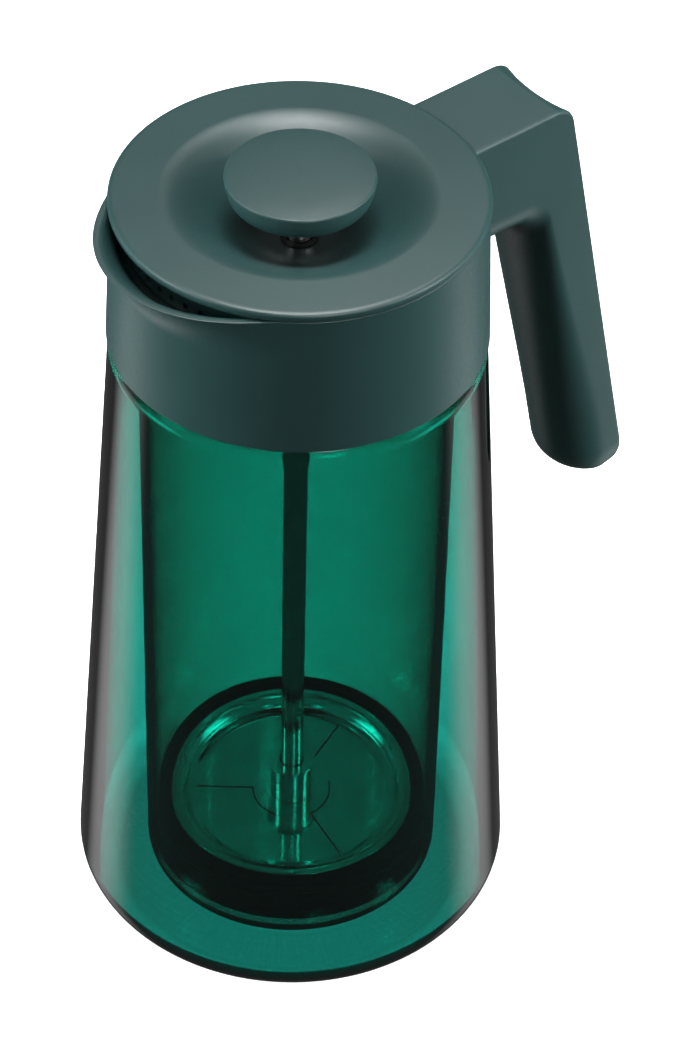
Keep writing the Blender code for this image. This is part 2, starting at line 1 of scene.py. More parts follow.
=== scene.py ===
"""French press: the looks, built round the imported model.

Each round piece is turned from an outline whose corners are softened, in metres, with the jug's axis on
Z, the handle along +X and the spout along -X. Outer sizes come from the frame's boxes.
"""

import json
from math import atan, cos, pi, radians, sin, sqrt, tan

import bmesh
import bpy
from mathutils import Euler, Matrix, Vector


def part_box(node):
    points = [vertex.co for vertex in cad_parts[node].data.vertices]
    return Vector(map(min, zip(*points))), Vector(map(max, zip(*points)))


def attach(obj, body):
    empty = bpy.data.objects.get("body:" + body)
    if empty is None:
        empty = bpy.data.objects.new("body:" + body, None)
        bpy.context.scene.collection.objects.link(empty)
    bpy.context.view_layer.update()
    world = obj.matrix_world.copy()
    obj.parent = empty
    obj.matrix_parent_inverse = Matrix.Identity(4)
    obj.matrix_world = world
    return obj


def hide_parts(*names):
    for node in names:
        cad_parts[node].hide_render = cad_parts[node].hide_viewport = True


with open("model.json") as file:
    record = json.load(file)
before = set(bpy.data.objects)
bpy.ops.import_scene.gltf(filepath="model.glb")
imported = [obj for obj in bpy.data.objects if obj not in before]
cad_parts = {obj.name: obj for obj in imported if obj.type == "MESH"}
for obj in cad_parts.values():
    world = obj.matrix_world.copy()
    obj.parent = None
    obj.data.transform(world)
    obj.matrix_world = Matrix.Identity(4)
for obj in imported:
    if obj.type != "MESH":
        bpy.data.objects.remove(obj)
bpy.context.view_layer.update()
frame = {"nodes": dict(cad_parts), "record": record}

# Camera: the photograph's view, looking down at the jug from the handle's left
CAMERA_AT = Vector((-0.6101, -0.7453, 0.9960))
CAMERA_AIM = Vector((0.0121, -0.0102, 0.1316))
CAMERA_ROLL = radians(1.51)
CAMERA_LENS = 154.1
SENSOR_HEIGHT = 36.0

# How finely round pieces are turned, and the angles above which an edge stays sharp
SIDES = 192
SMALL_SIDES = 96
COLLAR_SIDES = 288
DRILL_SIDES = 20
FLOW_HOLE_SIDES = 48
ROUNDING_STEPS = 5
SHARP_ANGLE = radians(35)
CUT_SHARP_ANGLE = radians(30)

# Clearance between neighbouring pieces, and how far a cutter runs past what it cuts
GAP = 0.0003
CUT_MARGIN = 0.002


def corner_box(node):
    """Outer radius, lowest and highest points of a round node."""
    low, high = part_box(node)
    return high.y, low.z, high.z


BASE_RADIUS, _, NECK_TOP = corner_box("outer_glass")
LIP_RADIUS, CUP_BOTTOM, GLASS_TOP = corner_box("inner_glass")
COLLAR_RADIUS, COLLAR_BOTTOM, RIM = corner_box("collar")
LID_RADIUS, _, LID_TOP = corner_box("lid_cover")
KNOB_RADIUS, KNOB_LOW, KNOB_TOP = corner_box("knob")
ROD_RADIUS, ROD_LOW, ROD_TOP = corner_box("plunger_rod")
HUB_RADIUS, HUB_LOW, HUB_TOP = corner_box("filter_hub")
RING_RADIUS, RING_LOW, RING_TOP = corner_box("filter_ring")
DISC_RADIUS, PLATE_LOW, _ = corner_box("spiral_plate")
SEAL_RADIUS, SEAL_LOW, SEAL_HIGH = corner_box("lid_seal")
STRAINER_RADIUS, STRAINER_LOW, STRAINER_TOP = corner_box("strainer")
SPOUT_TIP = -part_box("collar")[0].x

# Sizes of the jug and the filter that the boxes don't give
RIM_RADIUS = 0.0517
BORE_RADIUS = 0.0432
INNER_GLASS_RADIUS = 0.0452
NECK_RADIUS = 0.0478
GLASS_TOP_RADIUS = 0.0527
GLASS_WALL = 0.0022
BASE_CORNER = 0.0110
LEDGE_TOP = 0.2390
DISC_THICKNESS = 0.0008
STUD_HOLE_RADIUS = 0.0028


# ---------------------------------------------------------------- shaping

def arc(centre_r, centre_z, radius, start, end, steps, shrink=0):
    """Points on an arc, with angles in degrees from the outward direction, as unrounded corners."""
    points = []
    for step in range(steps + 1):
        share = step / steps
        angle = radians(start + (end - start) * share)
        reach = radius - shrink * share
        points.append((centre_r + reach * cos(angle), centre_z + reach * sin(angle), 0))
    return points


def soften(corners):
    """Outline points from (radius, height, rounding) corners, with each rounding as a smooth curve."""
    points = []
    for index, (radius, height, rounding) in enumerate(corners):
        here = Vector((radius, height))
        if not rounding:
            points.append(here)
            continue
        before = Vector(corners[index - 1][:2]) - here
        after = Vector(corners[(index + 1) % len(corners)][:2]) - here
        start = here + before.normalized() * min(rounding, before.length / 2)
        end = here + after.normalized() * min(rounding, after.length / 2)
        for step in range(ROUNDING_STEPS + 1):
            share = step / ROUNDING_STEPS
            points.append(start * (1 - share) ** 2 + here * 2 * share * (1 - share) + end * share ** 2)
    return points


def add_piece(name, bm, weighted=True):
    """Turn a closed bmesh into a smooth-shaded object with its faces outwards."""
    bmesh.ops.recalc_face_normals(bm, faces=bm.faces)
    if bm.calc_volume(signed=True) < 0:
        bmesh.ops.reverse_faces(bm, faces=bm.faces)
    mesh = bpy.data.meshes.new(name)
    bm.to_mesh(mesh)
    bm.free()
    mesh.shade_smooth()
    mesh.set_sharp_from_angle(angle=SHARP_ANGLE)
    piece = bpy.data.objects.new(name, mesh)
    bpy.context.scene.collection.objects.link(piece)
    if weighted:
        normals = piece.modifiers.new("even_shading", "WEIGHTED_NORMAL")
        normals.keep_sharp = True
    return piece


def turn(outline, sides=SIDES, swell=None):
    """Turn an outline about the Z axis; one that starts and ends on the axis makes a solid."""
    bm = bmesh.new()
    solid = outline[0][0] == 0 and outline[-1][0] == 0
    rings = []
    for radius, height in outline:
        if radius == 0:
            rings.append([bm.verts.new((0, 0, height))] * sides)
            continue
        ring = []
        for side in range(sides):
            angle = 2 * pi * side / sides
            reach = radius + (swell(radius, height, angle) if swell else 0)
            ring.append(bm.verts.new((reach * cos(angle), reach * sin(angle), height)))
        rings.append(ring)
    pairs = list(zip(rings, rings[1:]))
    if not solid:
        pairs.append((rings[-1], rings[0]))
    for low, high in pairs:
        for side in range(sides):
            after = (side + 1) % sides
            corners = []
            for vert in (low[side], low[after], high[after], high[side]):
                if vert not in corners:
                    corners.append(vert)
            bm.faces.new(corners)
    return bm


def turned(name, corners, sides=SIDES, weighted=True, swell=None):
    """A piece turned from (radius, height, rounding) corners."""
    return add_piece(name, turn(soften(corners), sides, swell), weighted)


def loft(name, sections):
    """Join closed loops of points, one after another, and cap both ends."""
    bm = bmesh.new()
    rings = [[bm.verts.new(point) for point in section] for section in sections]
    for first, second in zip(rings, rings[1:]):
        for index in range(len(first)):
            after = (index + 1) % len(first)
            bm.faces.new((first[index], first[after], second[after], second[index]))
    bm.faces.new(rings[0])
    bm.faces.new(rings[-1][::-1])
    return add_piece(name, bm)


def prism(points, low, high):
    """A straight-sided block between two heights."""
    bm = bmesh.new()
    bottom = [bm.verts.new((x, y, low)) for x, y in points]
    top = [bm.verts.new((x, y, high)) for x, y in points]
    bm.faces.new(bottom)
    bm.faces.new(top[::-1])
    for index in range(len(points)):
        after = (index + 1) % len(points)
        bm.faces.new((bottom[index], top[index], top[after], bottom[after]))
    return bm


def carve(piece, cutters):
    """Cut the cutters out of a piece for good, and remove them."""
    for cutter in cutters:
        modifier = piece.modifiers.new("cut", "BOOLEAN")
        modifier.operation = "DIFFERENCE"
        modifier.object = cutter
    depsgraph = bpy.context.evaluated_depsgraph_get()
    carved = bpy.data.meshes.new_from_object(piece.evaluated_get(depsgraph))
    piece.modifiers.clear()
    piece.data = carved
    piece.data.shade_smooth()
    piece.data.set_sharp_from_angle(angle=CUT_SHARP_ANGLE)
    for cutter in cutters:
        bpy.data.objects.remove(cutter)
    return piece


# ---------------------------------------------------------------- materials

PLASTIC_COLOUR = (0.016, 0.050, 0.050)

# The part of a noise pattern's 0 to 1 range that most of it lies in
NOISE_LOW, NOISE_HIGH = 0.3, 0.7


class Finish:
    """A Principled material and short ways to add nodes to it."""

    def __init__(self, name, colour, roughness, metallic=0.0, **sockets):
        self.material = bpy.data.materials.new(name)
        self.material.use_nodes = True
        self.tree = self.material.node_tree
        self.shader = self.tree.nodes["Principled BSDF"]
        self.set(self.shader, "Base Color", (*colour, 1))
        self.set(self.shader, "Roughness", roughness)
        self.set(self.shader, "Metallic", metallic)
        for socket, value in sockets.items():
            self.set(self.shader, socket.replace("_", " "), value)
        coordinates = self.tree.nodes.new("ShaderNodeTexCoord")
        self.place = coordinates.outputs["Object"]

    def set(self, node, socket, value):
        node.inputs[socket].default_value = value

    def link(self, output, node, socket):
        self.tree.links.new(output, node.inputs[socket])

    def stretched(self, scale):
        mapping = self.tree.nodes.new("ShaderNodeMapping")
        self.link(self.place, mapping, "Vector")
        mapping.inputs["Scale"].default_value = scale
        return mapping.outputs["Vector"]

    def noise(self, scale, detail, vector=None):
        noise = self.tree.nodes.new("ShaderNodeTexNoise")
        self.set(noise, "Scale", scale)
        self.set(noise, "Detail", detail)
        self.link(vector or self.place, noise, "Vector")
        return noise.outputs["Fac"]

    def spread(self, value, low, high):
        """Map a 0 to 1 pattern onto a range of numbers."""
        ranged = self.tree.nodes.new("ShaderNodeMapRange")
        self.link(value, ranged, "Value")
        numbers = (NOISE_LOW, NOISE_HIGH, low, high)
        for socket, number in zip(("From Min", "From Max", "To Min", "To Max"), numbers):
            self.set(ranged, socket, number)
        return ranged.outputs["Result"]

    def tint(self, value, dark, light):
        """Map a 0 to 1 pattern onto a run of colour."""
        ramp = self.tree.nodes.new("ShaderNodeValToRGB")
        self.link(value, ramp, "Fac")
        ramp.color_ramp.elements[0].color = (*dark, 1)
        ramp.color_ramp.elements[0].position = NOISE_LOW
        ramp.color_ramp.elements[1].color = (*light, 1)
        ramp.color_ramp.elements[1].position = NOISE_HIGH
        self.link(ramp.outputs["Color"], self.shader, "Base Color")

    def bump(self, heights):
        """Stack bump layers from (height output, distance in metres, strength)."""
        normal = None
        for height, distance, strength in heights:
            bump = self.tree.nodes.new("ShaderNodeBump")
            self.set(bump, "Distance", distance)
            self.set(bump, "Strength", strength)
            self.link(height, bump, "Height")
            if normal:
                self.link(normal, bump, "Normal")
            normal = bump.outputs["Normal"]
        self.link(normal, self.shader, "Normal")


def satin_plastic(name, colour):
    """Moulded plastic with a fine sparked grain and faint flow mottling."""
    finish = Finish(name, colour, 0.40, Specular_IOR_Level=0.5, Coat_Weight=0.12, Coat_Roughness=0.28)
    mottle = finish.noise(38, 4)
    grain = finish.noise(5200, 2)
    dark = [channel * 0.94 for channel in colour]
    light = [channel * 1.07 for channel in colour]
    finish.tint(mottle, dark, light)
    finish.link(finish.spread(finish.noise(900, 3), 0.36, 0.44), finish.shader, "Roughness")
    finish.bump([(grain, 0.00003, 0.35), (finish.noise(60, 2), 0.00008, 0.10)])
    return finish.material


def emerald_glass(name):
    """Glass coloured through its thickness, with the slight waviness of a blown wall."""
    finish = Finish(name, (1, 1, 1), 0.0, IOR=1.47, Transmission_Weight=1.0)
    finish.bump([(finish.noise(26, 1, finish.stretched((1, 1, 0.25))), 0.0006, 0.02)])
    absorption = finish.tree.nodes.new("ShaderNodeVolumeAbsorption")
    finish.set(absorption, "Color", (0, 0.728, 0.682, 1))
    finish.set(absorption, "Density", 1000)
    output = finish.tree.nodes["Material Output"]
    finish.link(absorption.outputs["Volume"], output, "Volume")
    return finish.material


def silicone(name):
    """Matte black silicone with a dusty bloom and a fine moulded skin."""
    finish = Finish(name, (0.004, 0.005, 0.005), 0.6, Specular_IOR_Level=0.25)
    finish.tint(finish.noise(120, 4), (0.003, 0.004, 0.004), (0.007, 0.008, 0.008))
    finish.link(finish.spread(finish.noise(700, 3), 0.50, 0.68), finish.shader, "Roughness")
    finish.bump([(finish.noise(3000, 2), 0.00003, 0.3)])
    return finish.material


def drawn_steel(name, stretch, roughness):
    """Polished steel with fine lines along or around the piece."""
    finish = Finish(name, (0.62, 0.63, 0.62), roughness, 1.0)
    lines = finish.noise(1400, 3, finish.stretched(stretch))
    finish.tint(finish.noise(90, 3), (0.56, 0.57, 0.56), (0.68, 0.69, 0.68))
    finish.link(finish.spread(lines, roughness * 0.7, roughness * 1.4), finish.shader, "Roughness")
    finish.bump([(lines, 0.00001, 0.25)])
    return finish.material


def woven_mesh(name):
    """Fine woven steel cloth: two crossed sets of wires, with painted shade darkening the low parts of the
    weave between them.
    """
    finish = Finish(name, (0.50, 0.51, 0.50), 0.32, 1.0)
    waves = []
    for direction in ("X", "Y"):
        wave = finish.tree.nodes.new("ShaderNodeTexWave")
        wave.bands_direction = direction
        finish.set(wave, "Scale", 900)
        finish.set(wave, "Distortion", 0.4)
        finish.link(finish.place, wave, "Vector")
        waves.append(wave.outputs["Fac"])
    weave = finish.tree.nodes.new("ShaderNodeMath")
    weave.operation = "MULTIPLY"
    finish.tree.links.new(waves[0], weave.inputs[0])
    finish.tree.links.new(waves[1], weave.inputs[1])
    # Painted shade: the low parts of the weave, between and under the wires, are coloured near-black
    # instead of steel.
    finish.tint(weave.outputs["Value"], (0.10, 0.11, 0.10), (0.62, 0.63, 0.62))
    finish.bump([(weave.outputs["Value"], 0.0001, 0.6)])
    return finish.material


def machined_brass(name):
    """Turned brass with fine rings."""
    finish = Finish(name, (0.72, 0.50, 0.20), 0.26, 1.0)
    rings = finish.noise(1200, 2, finish.stretched((0.2, 0.2, 3)))
    finish.tint(finish.noise(150, 3), (0.62, 0.42, 0.16), (0.80, 0.58, 0.26))
    finish.link(finish.spread(rings, 0.20, 0.36), finish.shader, "Roughness")
    finish.bump([(rings, 0.00002, 0.3)])
    return finish.material


# ---------------------------------------------------------------- jug

def outer_wall():
    """Flared outer wall: foot ring, rounded base, shoulder under the collar and neck inside it.

    It thickens round the base corner by heel_extra; flare is the corner's last angle in degrees.
    """
    foot_inner, recess, vent = 0.0400, 0.0015, 0.0043
    flare, heel_extra = 3, 0.45 * GLASS_WALL
    corner_r = BASE_RADIUS - BASE_CORNER
    neck_bore = NECK_RADIUS - 0.0017
    shoulder = COLLAR_BOTTOM - GAP
    corners = [(vent, recess, 0), (foot_inner - 0.0030, recess, 0.0015), (foot_inner, 0, 0.0012)]
    corners += arc(corner_r, BASE_CORNER, BASE_CORNER, -90, flare, 24)
    corners += [(GLASS_TOP_RADIUS, shoulder, 0.0036), (NECK_RADIUS + 0.0006, shoulder, 0.0008)]
    corners += [(NECK_RADIUS, shoulder + 0.0016, 0.0008), (NECK_RADIUS, NECK_TOP, 0.0006)]
    corners += [(neck_bore, NECK_TOP, 0.0006)]
    corners += arc(neck_bore, shoulder - 0.0064, 0.0044, 90, 0, 12)
    corners += arc(corner_r, BASE_CORNER, BASE_CORNER - GLASS_WALL, flare, -90, 20, shrink=heel_extra)
    corners += [(vent, corners[-1][1], 0)]
    return turned("glass_outer_wall", corners, weighted=False)


def inner_wall():
    """Straight cup with a rounded bottom and a rolled lip."""
    corner = 0.0060
    lip_low = GLASS_TOP - 0.0024
    floor = CUP_BOTTOM + 0.0018
    corners = [(0, CUP_BOTTOM, 0)]
    corners += arc(INNER_GLASS_RADIUS - corner, CUP_BOTTOM + corner, corner, -90, 0, 12)
    corners += [(INNER_GLASS_RADIUS, lip_low, 0.0010), (LIP_RADIUS, lip_low, 0.0010)]
    corners += [(LIP_RADIUS, GLASS_TOP, 0.0010), (BORE_RADIUS, GLASS_TOP, 0.0012)]
    corners += arc(BORE_RADIUS - corner + 0.002, floor + corner - 0.002, corner - 0.002, 0, -90, 10)
    corners += [(0, floor, 0)]
    return turned("glass_inner_cup", corners, weighted=False)


# The pouring lip: the collar stays round inside SPOUT_INNER_LIMIT, and the powers shape the lip's
# fall to each side and down the wall
SPOUT_HALF_ANGLE = radians(45)
SPOUT_DEPTH = 0.0150
SPOUT_INNER_LIMIT = 0.047
SPOUT_SIDE_POWER = 1.25
SPOUT_DOWN_POWER = 1.8


def spout_swell(radius, height, angle):
    """Outward shift of the collar's wall that forms the pouring lip."""
    turn_away = abs(angle - pi)
    drop = (RIM - height) / SPOUT_DEPTH
    if radius < SPOUT_INNER_LIMIT or turn_away >= SPOUT_HALF_ANGLE or drop >= 1:
        return 0
    across = cos(turn_away / SPOUT_HALF_ANGLE * pi / 2) ** SPOUT_SIDE_POWER
    return (SPOUT_TIP - RIM_RADIUS) * across * (1 - max(drop, 0)) ** SPOUT_DOWN_POWER


def collar_radius(height):
    """Outer radius of the collar's wall, which narrows upwards in a straight line."""
    share = (height - COLLAR_BOTTOM) / (RIM - COLLAR_BOTTOM)
    return COLLAR_RADIUS + (RIM_RADIUS - COLLAR_RADIUS) * share


def collar_band():
    """Collar with its pouring lip, inner ledge and sleeve for the glass neck."""
    sleeve, throat, ledge_inner = 0.0498, 0.0490, 0.0446
    ledge_low = LEDGE_TOP - 0.0020
    steps = 16
    corners = [(sleeve, COLLAR_BOTTOM, 0.0004), (COLLAR_RADIUS, COLLAR_BOTTOM, 0.0006)]
    for step in range(steps):
        height = RIM - SPOUT_DEPTH * (1 - step / steps)
        corners.append((collar_radius(height), height, 0))
    corners += [(RIM_RADIUS, RIM, 0.0005), (throat + 0.0008, RIM, 0.0005)]
    for step in range(steps):
        height = RIM - 0.0006 - (RIM - 0.0006 - LEDGE_TOP - 0.0008) * step / (steps - 1)
        corners.append((throat, height, 0))
    corners += [(throat, LEDGE_TOP, 0.0007), (ledge_inner, LEDGE_TOP, 0.0005)]
    corners += [(ledge_inner, ledge_low, 0.0004), (sleeve, ledge_low, 0)]
    return turned("collar_and_spout", corners, COLLAR_SIDES, swell=spout_swell)


# ---------------------------------------------------------------- handle

HANDLE_HALF_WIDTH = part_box("handle")[1].y
HANDLE_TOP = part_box("handle")[1].z
HANDLE_UNDERSIDE = 0.2095
HANDLE_LENGTH = 0.1515
HANDLE_CORNER_X = 0.0859
HANDLE_CORNER_RADIUS = 0.0065
HANDLE_NOSE_X = 0.0759
HANDLE_END_DEPTH = 0.0190
HANDLE_NOSE_REACH = 0.0130
HANDLE_FILLET_RADIUS = 0.0100
HANDLE_LEAN = atan(0.211)
HANDLE_END_RADIUS = 0.0120
END_INSET_BACK = 0.0050
END_INSET_NOSE = 0.0125
END_INSET_SIDE = 0.0070
HANDLE_EDGE = 0.0012
GROOVE_DEPTH = 0.0030
ARM_STATIONS = (0.0530, 0.0560, 0.0600, 0.0640)
EDGE_SHARE = 0.25
NOSE_SHARE = 0.65


def handle_section(depth, half_width, groove, edge, nose):
    """A D-shaped section as (across, inward) points, its flat or grooved back at inward = 0."""
    half = []
    back_steps, edge_steps, side_steps, nose_steps = 10, 5, 4, 16
    flat = half_width - edge
    for step in range(back_steps):
        share = step / back_steps
        half.append((flat * share, groove * (1 - share * share)))
    for step in range(edge_steps + 1):
        angle = pi / 2 * step / edge_steps
        half.append((flat + edge * sin(angle), edge * (1 - cos(angle))))
    for step in range(1, side_steps):
        half.append((half_width, edge + (depth - nose - edge) * step / side_steps))
    for step in range(nose_steps + 1):
        angle = pi / 2 * step / nose_steps
        half.append((half_width * cos(angle), depth - nose + nose * sin(angle)))
    return half + [(-across, inward) for across, inward in half[-2:0:-1]]


def handle_stations():
    """Sections down the handle, as (back point, nose point, groove, rounding) in the XZ plane."""
    lean = HANDLE_LEAN
    down = Vector((sin(lean), -cos(lean)))
    back_corner = Vector((HANDLE_CORNER_X, HANDLE_TOP))
    nose_corner = Vector((HANDLE_NOSE_X, HANDLE_UNDERSIDE))
    tangent = tan((pi / 2 - lean) / 2)
    corner, fillet = HANDLE_CORNER_RADIUS, HANDLE_FILLET_RADIUS
    stations = []
    for x in ARM_STATIONS:
        stations.append((Vector((x, HANDLE_TOP)), Vector((x, HANDLE_UNDERSIDE)), 0, 0))
    turns = 16
    for turn_step in range(turns + 1):
        share = turn_step / turns
        angle = pi / 2 + (lean - pi / 2) * share
        outward = Vector((cos(angle), sin(angle)))
        back = back_corner - Vector((corner * tangent, corner)) + outward * corner
        nose = nose_corner - Vector((fillet * tangent, fillet)) + outward * fillet
        stations.append((back, nose, GROOVE_DEPTH * share, 0))
    shoulder = back_corner + down * (HANDLE_LENGTH - HANDLE_END_RADIUS)
    inward = Vector((down.y, -down.x)) * HANDLE_END_DEPTH
    start_back, start_nose = stations[-1][0], stations[-1][1]
    steps = 22
    for step in range(1, steps + 1):
        share = step / steps
        stations.append((start_back.lerp(shoulder, share), start_nose.lerp(shoulder + inward, share),
                         GROOVE_DEPTH, 0))
    rounds = 14
    for step in range(1, rounds + 1):
        angle = pi / 2 * step / rounds
        along = down * HANDLE_END_RADIUS * sin(angle)
        stations.append((shoulder + along, shoulder + inward + along, GROOVE_DEPTH, 1 - cos(angle)))
    return stations


def seat_x(across, height):
    """Where the handle meets the collar: just clear of its wall, or of the lid's brim above the rim."""
    brim_gap, rim_margin = 0.0005, 0.0004
    radius = LID_RADIUS + brim_gap if height > RIM - rim_margin else collar_radius(height) + GAP
    return sqrt(radius * radius - across * across)


def grip():
    """Arm and grip in one moulding: flat top, grooved back, rounded nose and a free lower end."""
    sections = []
    for index, (back, nose, groove, rounding) in enumerate(handle_stations()):
        inward = (nose - back).normalized()
        start = back + inward * END_INSET_BACK * rounding
        depth = (nose - back).length - (END_INSET_BACK + END_INSET_NOSE) * rounding
        half_width = HANDLE_HALF_WIDTH - END_INSET_SIDE * rounding
        edge = min(HANDLE_EDGE, depth * EDGE_SHARE)
        nose_reach = min(HANDLE_NOSE_REACH, depth * NOSE_SHARE)
        section = []
        for across, reach in handle_section(depth, half_width, groove * (1 - rounding), edge, nose_reach):
            point = start + inward * reach
            x = seat_x(across, point.y) if index == 0 else point.x
            section.append((x, across, point.y))
        sections.append(section)
    return loft("arm_and_grip", sections)


# ---------------------------------------------------------------- lid

DISH_RADIUS = 0.0385
DISH_FLOOR = 0.2368
DISH_FLOOR_RADIUS = 0.0080
LID_SKIN = 0.0022
BRIM_THICKNESS = 0.0030
BRIM_FALL = 0.0006
BRIM_ROUNDING = 0.0019
DISH_STEPS = 40


def dish_points(shift, inwards):
    """Points down the dish, level at its rim and floor, shifted down by shift for the underside."""
    points = []
    for step in range(DISH_STEPS + 1):
        share = step / DISH_STEPS
        radius = DISH_RADIUS + (DISH_FLOOR_RADIUS - DISH_RADIUS) * share
        fall = share * share * (3 - 2 * share)
        points.append((radius, LID_TOP - fall * (LID_TOP - DISH_FLOOR) - shift, 0))
    return points if inwards else points[::-1]


def lid_top():
    """Round lid: a brim that falls a little to its edge, a smooth dish and a boss for the rod bush."""
    brim_low = LID_TOP - BRIM_THICKNESS
    skin_low = DISH_FLOOR - LID_SKIN
    hole, boss_radius, boss_bore = 0.0040, 0.0086, 0.0056
    boss_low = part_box("lid_cover")[0].z
    corners = dish_points(0, True)
    corners += [(hole, DISH_FLOOR - GAP, 0.0007), (hole, skin_low, 0)]
    corners += [(boss_bore, skin_low, 0), (boss_bore, boss_low, 0.0003), (boss_radius, boss_low, 0.0006)]
    corners += [(boss_radius, skin_low - GAP, 0.0004)]
    corners += dish_points(LID_SKIN, False)[1:-2]
    corners += [(DISH_RADIUS, brim_low, 0.0010), (LID_RADIUS, brim_low, 0.0007)]
    corners += [(LID_RADIUS, LID_TOP - BRIM_FALL, BRIM_ROUNDING)]
    return turned("lid_top", corners)


def strainer_ring():
    """Stepped ring with a pierced wall that faces the spout."""
    wall, bore, skirt, skirt_bore, groove = STRAINER_RADIUS, 0.0464, 0.0418, 0.0386, 0.0404
    seat = LEDGE_TOP + GAP
    floor = seat + 0.0014
    corners = [(skirt_bore, STRAINER_LOW, 0.0005), (skirt, STRAINER_LOW, 0.0008)]
    corners += [(skirt, SEAL_LOW - GAP, 0.0002), (groove, SEAL_LOW - GAP, 0)]
    corners += [(groove, SEAL_HIGH + GAP, 0), (skirt, SEAL_HIGH + GAP, 0.0002)]
    corners += [(skirt, seat, 0.0004), (wall, seat, 0.0006), (wall, STRAINER_TOP, 0.0003)]
    corners += [(bore, STRAINER_TOP, 0.0003), (bore, floor, 0.0006), (skirt_bore, floor, 0.0005)]
    ring = turned("strainer_ring", corners, weighted=False)
    holes, pitch, hole_radius, overshoot = 11, radians(6), 0.0009, 0.001
    hole_height = floor + 0.0014
    cutters = []
    for number in range(holes):
        angle = pi + (number - (holes - 1) / 2) * pitch
        near, far = bore - overshoot, wall + overshoot
        bm = turn([(0, near), (hole_radius, near), (hole_radius, far), (0, far)], DRILL_SIDES)
        for vert in bm.verts:
            vert.co = Vector((vert.co.z, vert.co.y, hole_height - vert.co.x))
        bmesh.ops.rotate(bm, verts=bm.verts, cent=(0, 0, 0), matrix=Matrix.Rotation(angle, 3, "Z"))
        cutters.append(add_piece(f"strainer_drill_{number}", bm, weighted=False))
    return carve(ring, cutters)


def seal_ring():
    """Silicone ring in the strainer's groove with a wiping lip at each edge."""
    inner, waist = 0.0407, 0.0424
    corners = [(inner, SEAL_LOW, 0.0003), (SEAL_RADIUS, SEAL_LOW, 0.0006)]
    corners += [(SEAL_RADIUS - 0.0001, SEAL_LOW + 0.0009, 0.0003), (waist, SEAL_LOW + 0.0018, 0.0005)]
    corners += [(waist, SEAL_HIGH - 0.0018, 0.0005), (SEAL_RADIUS - 0.0001, SEAL_HIGH - 0.0009, 0.0003)]
    corners += [(SEAL_RADIUS, SEAL_HIGH, 0.0006), (inner, SEAL_HIGH, 0.0003)]
    return turned("lid_seal_ring", corners)


def bush():
    """Bush that guides the rod: a flange under the lid's boss and a sleeve inside it."""
    low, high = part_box("rod_bush")[0].z, DISH_FLOOR - LID_SKIN - GAP
    flange, sleeve, bore = 0.0084, 0.0053, ROD_RADIUS + 0.00025
    boss_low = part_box("lid_cover")[0].z
    corners = [(bore, low, 0.0003), (flange, low, 0.0005), (flange, boss_low - GAP, 0.0003)]
    corners += [(sleeve, boss_low - GAP, 0), (sleeve, high, 0.0003), (bore, high, 0.0003)]
    return turned("rod_guide", corners, SMALL_SIDES)


# ---------------------------------------------------------------- plunger

def knob_top():
    """Knob with a shallow dome, a rounded rim and a bowl-shaped underside."""
    edge, edge_radius = KNOB_TOP - 0.0018, 0.0008
    pocket, pocket_top = 0.0047, 0.2560
    corners = [(0, pocket_top, 0), (pocket, pocket_top, 0), (pocket, KNOB_LOW, 0.0002)]
    corners += [(0.0064, KNOB_LOW, 0.0008), (0.0140, KNOB_LOW + 0.0004, 0.0030)]
    corners += [(0.0194, KNOB_LOW + 0.0016, 0.0026), (KNOB_RADIUS - 0.0003, KNOB_LOW + 0.0056, 0.0016)]
    corners += arc(KNOB_RADIUS - edge_radius, edge, edge_radius, -20, 75, 10)
    corners += [(0.0150, edge + 0.0013, 0.0040), (0, KNOB_TOP, 0)]
    return turned("knob_cap", corners)


def rod():
    """Round rod with a reduced stud at each end."""
    stud, shoulder_low, shoulder_high = 0.0024, 0.0248, KNOB_LOW - GAP
    corners = [(0, ROD_LOW, 0), (stud, ROD_LOW, 0.0006), (stud, shoulder_low, 0)]
    corners += [(ROD_RADIUS, shoulder_low, 0.0003), (ROD_RADIUS, shoulder_high, 0.0004)]
    corners += [(stud, shoulder_high, 0), (stud, ROD_TOP, 0.0004), (0, ROD_TOP, 0)]
    return turned("rod_bar", corners, SMALL_SIDES)


def hub():
    """Turned hub with a thin lip at its top."""
    bore, body, web = ROD_RADIUS + GAP, 0.0064, 0.0245
    corners = [(STUD_HOLE_RADIUS, HUB_LOW, 0), (body, HUB_LOW, 0.0002), (body, HUB_TOP - 0.0011, 0.0004)]
    corners += [(HUB_RADIUS, HUB_TOP - 0.0007, 0.0002), (HUB_RADIUS, HUB_TOP, 0.0004)]
    corners += [(bore, HUB_TOP, 0.0003), (bore, web, 0), (STUD_HOLE_RADIUS, web, 0)]
    return turned("hub_sleeve", corners, SMALL_SIDES)


def hooked_cut(start, low, high):
    """A slit that runs out along a radius and curls round the hub at its inner end."""
    inner, outer, width, sweep, steps = 0.0120, 0.0300, 0.0006, radians(75), 20
    near = []
    far = []
    for step in range(steps, -1, -1):
        angle = start + sweep * step / steps
        near.append(((inner - width / 2) * cos(angle), (inner - width / 2) * sin(angle)))
        if step > 1:
            far.append(((inner + width / 2) * cos(angle), (inner + width / 2) * sin(angle)))
    along = Vector((cos(start), sin(start)))
    side = Vector((-sin(start), cos(start))) * width
    corners = [along * outer, along * outer + side, along * (inner + width / 2) + side]
    outline = near + [tuple(corner) for corner in corners] + far[::-1]
    return prism(outline, low - CUT_MARGIN, high + CUT_MARGIN)


